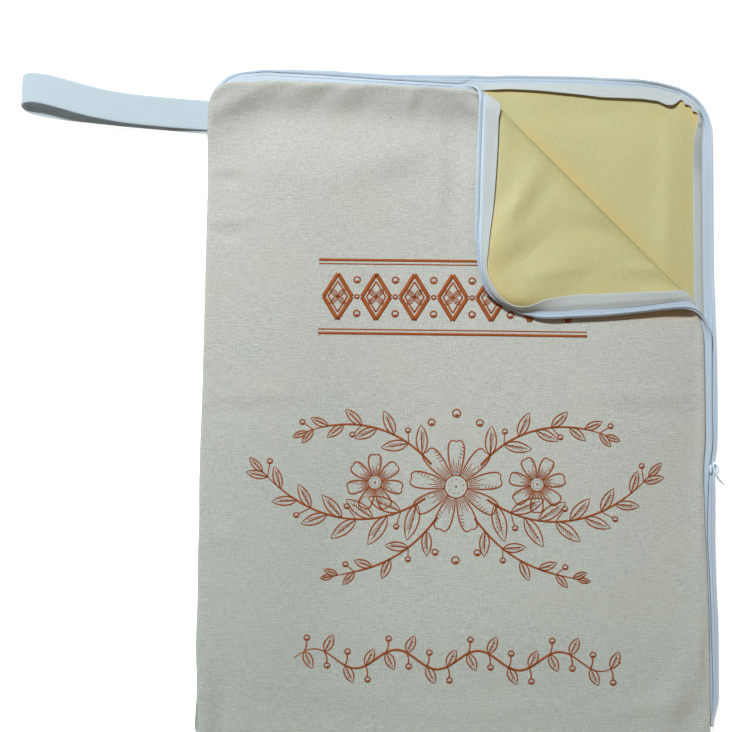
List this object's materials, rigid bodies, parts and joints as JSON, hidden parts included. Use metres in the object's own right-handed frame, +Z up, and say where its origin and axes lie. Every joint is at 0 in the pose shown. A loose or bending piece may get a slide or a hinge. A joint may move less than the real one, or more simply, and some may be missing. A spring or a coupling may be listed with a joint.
{
  "type": "beeswax bread bag",
  "caption": "Flat canvas bread bag lined with beeswax cloth, lying on its back, its zip undone round one corner, the corner folded back and a hanging strap at its side.",
  "frame": {"origin": "on the surface the bag lies on, under the middle of its back panel", "axes": "+X towards the zipped side, +Y towards the zipped top, +Z up out of the front"},
  "size_m": [0.4628, 0.4335, 0.0204],
  "materials": {
    "canvas": "matt plain-weave canvas, undyed grey-green",
    "lining": "waxed cotton, soft satin",
    "binding": "matt woven tape",
    "tape": "fine herringbone zip tape",
    "coil": "nylon coil",
    "webbing": "twill webbing",
    "metal": "bright plated metal"
  },
  "bodies": {
    "root": {"back_panel": "canvas", "back_lining": "lining", "back_binding": "binding", "back_zip_tape": "tape", "back_zip_coil": "coil", "front_panel": "canvas", "front_lining": "lining", "front_binding": "binding", "front_zip_tape": "tape", "front_zip_coil": "coil", "hanging_strap": "webbing", "zip_slider": "metal", "zip_pull": "metal"}
  },
  "joints": []
}
